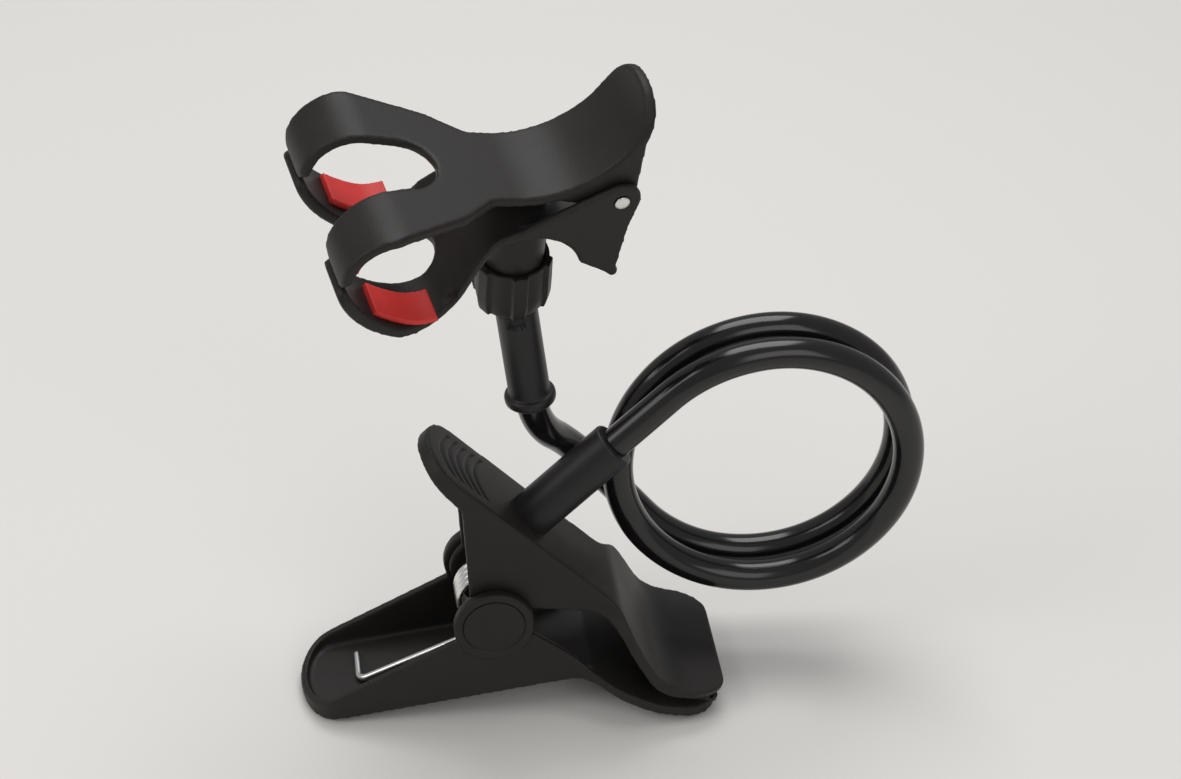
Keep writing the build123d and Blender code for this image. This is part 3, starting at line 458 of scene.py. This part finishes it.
CLIP_FACING, CLIP_UP = (0.978, 0.195, 0.07), (-0.02, -0.251, 0.968)
BALL_ABOVE, RIVET_AHEAD, RIVET_ABOVE = 0.0402, 0.024, 0.0382
BILL_SLOPE, BILL_GAP, LOWER_TIP = math.radians(-12.0), 0.0097, (0.066, 0.0, -0.0005)
clip_axes = axes_from(CLIP_FACING, CLIP_UP)
ball = stem_foot + stem_way * BALL_ABOVE
clip_origin = ball + clip_axes[0] * RIVET_AHEAD + clip_axes[2] * RIVET_ABOVE
lower_tip = np.array([PIVOT_X, 0.0, 0.0]) + LOWER_TIP
upper_tip = side_point(lower_tip, BILL_SLOPE + math.pi / 2, BILL_GAP)
print("clip origin", clip_origin.round(4), "upper tip", upper_tip.round(4))

# %% [markdown]
# ## The two torsion springs
# A hard steel wire is wound on each pin, and its two runs lie against the two halves that it
# pushes apart. Each run leaves the loops where a straight line from its seat touches them, and the
# clamp's runs end in a round bend across the handle. The first run rides on one half and the last
# on the other, and the loops between them stay fixed, on neither half.

# %% Torsion springs
def round_bend(start, corner, end, radius, count):
    """Line from start to end with an arc of a radius in place of the corner."""
    a, b = start - corner, end - corner
    a, b = a / np.linalg.norm(a), b / np.linalg.norm(b)
    half = math.acos(np.dot(a, b)) / 2
    centre = corner + (a + b) / np.linalg.norm(a + b) * radius / math.sin(half)
    first = corner + a * radius / math.tan(half) - centre
    last = corner + b * radius / math.tan(half) - centre
    sweep = math.pi - 2 * half
    t = np.linspace(0, sweep, count)[:, None]
    arc = centre + (np.sin(sweep - t) * first + np.sin(t) * last) / math.sin(sweep)
    before = np.linspace(start, arc[0], count)[:-1]
    after = np.linspace(arc[-1], end, count)[1:]
    return np.concatenate([before, arc, after])


LOOP_RISE, LOOP_TURNS, LOOP_STEPS, RUN_STEPS, WIRE_SIDES = 1.08, 4, 320, 14, 20
WIRE_BEND, SEAT_ALONG, SEAT_DEEP, HOOK_L = 0.0026, 0.041, 0.00425, 0.012


def torsion_lines(seats, loop_r, wire_r, hook):
    """First run, loops and last run about the second axis, and half the loops' height. A seat's
    own angle, moved by the arc cosine of radius over distance, is where its run touches the
    loops, which rise by LOOP_RISE wire widths a turn. A hook turns each end across."""
    angles = [
        math.atan2(z, x) + side * math.acos(loop_r / math.hypot(x, z))
        for (x, z), side in zip(seats, (1, -1))
    ]
    sweep = LOOP_TURNS * 2 * math.pi + (angles[1] - angles[0]) % (2 * math.pi)
    half = LOOP_RISE * wire_r * sweep / (2 * math.pi)
    t = np.linspace(0, 1, LOOP_STEPS)
    a = angles[0] + sweep * t
    loops = np.stack([loop_r * np.cos(a), half * (2 * t - 1), loop_r * np.sin(a)], -1)
    first = np.array([seats[0][0], -half, seats[0][1]])
    last = np.array([seats[1][0], half, seats[1][1]])
    if not hook:
        first_run = np.linspace(first, loops[0], RUN_STEPS)
        return first_run, loops, np.linspace(loops[-1], last, RUN_STEPS), half
    across = np.array([0.0, hook, 0.0])
    first_run = round_bend(first + across, first, loops[0], WIRE_BEND, RUN_STEPS)
    return first_run, loops, round_bend(loops[-1], last, last - across, WIRE_BEND, RUN_STEPS), half


def torsion_spring(node, wire_r, place, axes, lines, first_body, last_body):
    """Three tubes for one spring: each run rides on its body, and the loops stay fixed, on no body.
    """
    for label, line in zip(("first_run", "loops", "last_run"), lines):
        tube = tube_points(place + line @ axes, wire_r, WIRE_SIDES)
        mesh = grid_mesh(node, tube, wrap_v=True, capped=True)
        made = add_object(f"{node}_{label}", mesh, spring_steel)
        if label == "loops":
            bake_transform(made)
        else:
            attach(made, first_body if label == "first_run" else last_body)
        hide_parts(node)


LOWER_SLOPE, LOWER_SINK = math.radians(9.0), 0.025
CLAMP_WIRE, CLAMP_LOOP, CLIP_WIRE, CLIP_LOOP = 0.00105, 0.0086, 0.0007, 0.0036
CLIP_SEATS = ((0.00529, 0.01373), (-0.00343, -0.02006))
lower_foot = side_point(pivot, LOWER_SLOPE - math.pi / 2, LOWER_SINK)
lower_seat = side_point(
    side_point(lower_foot, LOWER_SLOPE, -SEAT_ALONG), LOWER_SLOPE + math.pi / 2, SEAT_DEEP
)
upper_seat = side_point(
    side_point(upper_foot, UPPER_SLOPE, -SEAT_ALONG), UPPER_SLOPE - math.pi / 2, SEAT_DEEP
)
clamp_seats = [(seat - pivot)[[0, 2]] for seat in (lower_seat, upper_seat)]
clamp_lines = torsion_lines(clamp_seats, CLAMP_LOOP, CLAMP_WIRE, HOOK_L)
torsion_spring("base_spring", CLAMP_WIRE, pivot, np.eye(3), clamp_lines, "base", "arm")
clip_lines = torsion_lines(CLIP_SEATS, CLIP_LOOP, CLIP_WIRE, 0.0)
torsion_spring("clip_spring", CLIP_WIRE, clip_origin, clip_axes, clip_lines, "clip_jaw", "clip")

# %% [markdown]
# ## Forms pressed into the mouldings
# Each function takes the points of a moulding and gives them back moved. The bills' corners are
# drawn in to a round, the lower fingers' tips stop just under the upper ones and grow thicker, a
# shallow dimple is pressed beside each lower pad, and fine bowed lines are pressed into the handle.
# The lower lever's corners come out level, the stem gets its slot, and the collar's foot tapers.

# %% Forms pressed into the mouldings
MOUTH_HALF, MOUTH_ROUND, MOUTH_BELOW = 0.024, 0.010, 0.02


def round_corners(points, tip):
    """In the bill's axes from its tip, points past a corner's centre keep their direction from it
    and come no further than the corner's radius."""
    axes = slope_axes(BILL_SLOPE)
    local = (points - tip) @ axes.T
    out = local[:, 0] + MOUTH_ROUND
    side = np.abs(local[:, 1]) - (MOUTH_HALF - MOUTH_ROUND)
    reach = np.hypot(out, side)
    past = (out > 0) & (side > 0) & (reach > MOUTH_ROUND) & (local[:, 2] > -MOUTH_BELOW)
    keep = np.where(past, MOUTH_ROUND / np.maximum(reach, 1e-9), 1.0)
    local[:, 0] = np.where(past, out * keep - MOUTH_ROUND, local[:, 0])
    turned = np.sign(local[:, 1]) * (side * keep + MOUTH_HALF - MOUTH_ROUND)
    local[:, 1] = np.where(past, turned, local[:, 1])
    return local @ axes + tip


FLANK_AT, FLANK_IN = np.array([-0.0405, 0.01998]), 0.0435
FLANK_FROM, FLANK_TURN, FLANK_KEPT = math.radians(240.0), math.radians(41.0), 0.83
TIP_GAIN, TIP_IN, TIP_PAST, TIP_SKIN, TIP_BEFORE = 0.7, 0.0019, 1.3, 0.004, -0.058


def shorter_tips(points):
    """Polar coordinates about the flank's centre: the angle from the flank's foot shrinks by a
    share, the thickness grows towards the tip, and the tip leans in by the square of its share."""
    local = (points - clip_origin) @ clip_axes.T
    away = local[:, [0, 2]] - FLANK_AT
    angle = np.arctan2(away[:, 1], away[:, 0]) % (2 * math.pi)
    reach = np.hypot(away[:, 0], away[:, 1])
    up = (FLANK_FROM - angle) / FLANK_TURN
    on = (up > 0) & (up < TIP_PAST) & (reach > FLANK_IN - TIP_SKIN) & (local[:, 0] < TIP_BEFORE)
    new_angle = FLANK_FROM - (FLANK_FROM - angle) * FLANK_KEPT
    new_reach = FLANK_IN + (reach - FLANK_IN) * (1 + TIP_GAIN * np.clip(up, 0, 1))
    lean = TIP_IN * np.clip(up, 0, 1) ** 2
    local[:, 0] = np.where(on, FLANK_AT[0] + new_reach * np.cos(new_angle) + lean, local[:, 0])
    local[:, 2] = np.where(on, FLANK_AT[1] + new_reach * np.sin(new_angle), local[:, 2])
    return local @ clip_axes + clip_origin


LEVER_FROM, LEVER_SLOPE, LEVER_L = np.array([-0.01287, -0.01231]), math.radians(-50.0), 0.020
LEVER_ROUND, LEVER_HALF, LEVER_KEPT = 0.004, 0.0155, 0.008


def square_lever(points):
    """Along the lower lever, each line is stretched past a set place, so that its end, which
    falls back by the corner's circle, comes level with the middle of the lever."""
    local = (points - clip_origin) @ clip_axes.T
    way = np.array([math.cos(LEVER_SLOPE), math.sin(LEVER_SLOPE)])
    run = (local[:, [0, 2]] - LEVER_FROM) @ way
    side = np.clip(np.abs(local[:, 1]) - (LEVER_HALF - LEVER_ROUND), 0, LEVER_ROUND)
    end = LEVER_L - LEVER_ROUND + np.sqrt(LEVER_ROUND ** 2 - side ** 2)
    grow = (LEVER_L - LEVER_KEPT) / (end - LEVER_KEPT) - 1
    more = np.where(run > LEVER_KEPT, (run - LEVER_KEPT) * grow, 0.0)
    local[:, 0] += more * way[0]
    local[:, 2] += more * way[1]
    return local @ clip_axes + clip_origin


DIMPLE_ANGLE, DIMPLE_W, DIMPLE_DEEP = math.radians(306.0), 0.0017, 0.0010
FINGER_Y, CURVE_AT, CURVE_R = 0.0205, (-0.0555, -0.006), 0.0135


def dimples(points):
    """A bell-shaped hollow in each lower finger: depth times exp(-(distance / width) squared)."""
    local = (points - clip_origin) @ clip_axes.T
    way = np.array([math.cos(DIMPLE_ANGLE), 0.0, math.sin(DIMPLE_ANGLE)])
    for y in (-FINGER_Y, FINGER_Y):
        place = np.array([CURVE_AT[0], y, CURVE_AT[1]]) + CURVE_R * way
        gap = np.linalg.norm(local - place, axis=1)
        local = local + DIMPLE_DEEP * np.exp(-(gap / DIMPLE_W) ** 2)[:, None] * way
    return local @ clip_axes + clip_origin


LINE_COUNT, LINE_PITCH, LINE_HALF, LINE_BOW = 5, 0.00325, 0.010, 0.0045
LINE_W, LINE_DEEP, LINE_FIRST, LINE_FADE = 0.0005, 0.0006, -0.041, 0.0015
FLAT_DEEP, FLAT_HALF, FLAT_BEFORE = 0.0013, 0.0105, 0.0062


def thumb_lines(points):
    """On the upper handle's flat, the height is set level and then pressed in along bowed lines:
    depth times exp(-(distance along the handle / width) squared)."""
    axes = slope_axes(UPPER_SLOPE)
    local = (points - upper_foot) @ axes.T
    x, y, height = local.T
    past = x - LINE_FIRST
    near = (height > -FLAT_DEEP) & (np.abs(y) < FLAT_HALF)
    near &= (past > -FLAT_BEFORE) & (past < LINE_PITCH * LINE_COUNT)
    bowed = past + LINE_BOW * (1 - (y / LINE_HALF) ** 2)
    lines = sum(np.exp(-((bowed - LINE_PITCH * row) / LINE_W) ** 2) for row in range(LINE_COUNT))
    fade = np.clip((LINE_HALF - np.abs(y)) / LINE_FADE, 0, 1)
    local[:, 2] = np.where(near, -LINE_DEEP * lines * fade, height)
    return local @ axes + upper_foot


SLOT_FROM, SLOT_TO, SLOT_DEEP, SLOT_SKIN = 0.0268, 0.0296, 0.0013, 0.0052
SLOT_HALF, SLOT_TURN = math.radians(27.0), math.radians(9.37)
stem_axes = axes_from(stem_way, (-math.sin(SLOT_TURN), -math.cos(SLOT_TURN), 0.0))


def stem_slot(points):
    """A square-edged slot near the stem's top: within a height and an angle, the outer skin's
    radius is set back by a depth."""
    local = (points - stem_foot) @ stem_axes.T
    angle = np.arctan2(local[:, 1], local[:, 2])
    reach = np.hypot(local[:, 1], local[:, 2])
    in_slot = (local[:, 0] > SLOT_FROM) & (local[:, 0] < SLOT_TO)
    in_slot &= (np.abs(angle) < SLOT_HALF) & (reach > SLOT_SKIN)
    local[:, 1:] *= np.where(in_slot, 1 - SLOT_DEEP / np.maximum(reach, 1e-9), 1.0)[:, None]
    return local @ stem_axes + stem_foot


FOOT_FROM, FOOT_H, FOOT_TAPER, FOOT_SKIN = -0.0005, 0.0059, 0.08, 0.0092


def tapered_foot(points):
    """The collar's outer skin draws in towards its foot, by a share times the square of the way
    down."""
    local = (points - ball) @ clip_axes.T
    reach = np.hypot(local[:, 0], local[:, 1])
    down = np.clip((FOOT_FROM - local[:, 2]) / FOOT_H, 0, 1)
    local[:, :2] *= np.where(reach > FOOT_SKIN, 1 - FOOT_TAPER * down ** 2, 1.0)[:, None]
    return local @ clip_axes + ball


print("forms: bill corners, finger tips, lever, dimples, thumb lines, stem slot, collar foot")

# %% [markdown]
# ## Rounded mouldings
# Moulded jaws have no sharp edges: each corner is a small radius that catches a line of light. The
# solids are sharp, so a copy of each is merged, rebuilt from fine voxels and relaxed, which rounds
# every edge by about a millimetre and leaves the shape where it is. Broad forms are moved before
# the points relax, and fine ones are pressed in afterwards, so that they stay crisp.

# %% Rounded mouldings
def move_points(mesh, forms):
    """Pass a mesh's points through each form in turn."""
    flat = np.empty(len(mesh.vertices) * 3)
    mesh.vertices.foreach_get("co", flat)
    points = flat.reshape(-1, 3)
    for form in forms:
        points = form(points)
    mesh.vertices.foreach_set("co", np.ascontiguousarray(points).ravel())
    mesh.update()


def baked(made, kind, **settings):
    """Mesh of an object after one modifier of a kind."""
    step = made.modifiers.new(kind.lower(), kind)
    for label, value in settings.items():
        setattr(step, label, value)
    shown = made.evaluated_get(bpy.context.evaluated_depsgraph_get())
    found = bpy.data.meshes.new_from_object(shown)
    made.modifiers.clear()
    made.data = found
    return found


MERGE_GAP, SMOOTH_SHARE, JAW_VOXEL, SMALL_VOXEL = 1e-6, 0.5, 0.0005, 0.0003


def rounded_moulding(node, voxel, passes, broad=(), fine=()):
    """Copy of a node with its doubles merged, remeshed at a voxel size, then each vertex moved
    half way to the mean of its neighbours for some passes."""
    mesh = nodes[node].data.copy()
    shell = bmesh.new()
    shell.from_mesh(mesh)
    bmesh.ops.remove_doubles(shell, verts=shell.verts, dist=MERGE_GAP)
    shell.to_mesh(mesh)
    shell.free()
    made = bpy.data.objects.new(node + "_moulding", mesh)
    bpy.context.scene.collection.objects.link(made)
    move_points(baked(made, "REMESH", mode="VOXEL", voxel_size=voxel), broad)
    found = baked(made, "SMOOTH", factor=SMOOTH_SHARE, iterations=passes)
    move_points(found, fine)
    found.polygons.foreach_set("use_smooth", np.ones(len(found.polygons), bool))
    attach(made, body_of[node])
    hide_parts(node)
    print(node, len(found.polygons), "faces")


def lower_corners(points):
    """The lower bill's corners, rounded about its own tip."""
    return round_corners(points, lower_tip)


def upper_corners(points):
    """The upper bill's corners, rounded about its own tip."""
    return round_corners(points, upper_tip)


rounded_moulding("base_lower_jaw", JAW_VOXEL, 14, broad=[lower_corners])
rounded_moulding("base_upper_jaw", JAW_VOXEL, 14, broad=[upper_corners], fine=[thumb_lines])
finger_forms = [shorter_tips, square_lever]
rounded_moulding("clip_lower_jaw", JAW_VOXEL, 18, broad=finger_forms, fine=[dimples])
rounded_moulding("clip_upper_jaw", JAW_VOXEL, 18)
rounded_moulding("lock_collar", SMALL_VOXEL, 12, broad=[tapered_foot])
rounded_moulding("ball_stem", SMALL_VOXEL, 5, fine=[stem_slot])
for pad in ("lower_front_pad", "lower_rear_pad", "upper_front_pad", "upper_rear_pad"):
    rounded_moulding(pad, SMALL_VOXEL, 6)

# %% [markdown]
# ## The clip's rivet
# The rivet is a steel pin with a small, slightly domed head at each end. A profile turned about
# the pin's axis gives the soft edge that a snap die leaves on the head.

# %% Clip rivet
def turned(profile, place, axes, around):
    """Profile rows (distance along, radius) turned about the second axis through a place."""
    t = np.linspace(0, 2 * math.pi, around, endpoint=False)
    out = np.cos(t)[:, None] * axes[2] - np.sin(t)[:, None] * axes[0]
    return place + profile[:, 0, None, None] * axes[1] + profile[:, 1, None, None] * out[None]


HEAD_R, HEAD_H, SHANK_R, DOME_FROM, RIVET_SIDES = 0.0021, 0.0007, 0.0016, 0.05, 40
dome = np.linspace(DOME_FROM, math.pi / 2, 10)
head = np.stack([LEVER_HALF + HEAD_H * np.cos(dome) ** 0.5, HEAD_R * np.sin(dome)], -1)
half_pin = np.concatenate([[[0.0, SHANK_R], [LEVER_HALF, SHANK_R]], head[::-1]])
pin = np.concatenate([half_pin[:0:-1] * (-1, 1), half_pin])
rivet_points = turned(pin, clip_origin, clip_axes, RIVET_SIDES)
rivet_mesh = grid_mesh("rivet_pin", rivet_points, wrap_v=True, capped=True)
rivet_pin = add_object("rivet_pin", rivet_mesh, spring_steel)
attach(rivet_pin, body_of["clip_rivet"])
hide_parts("clip_rivet")
print("rivet", len(rivet_mesh.polygons), "faces")
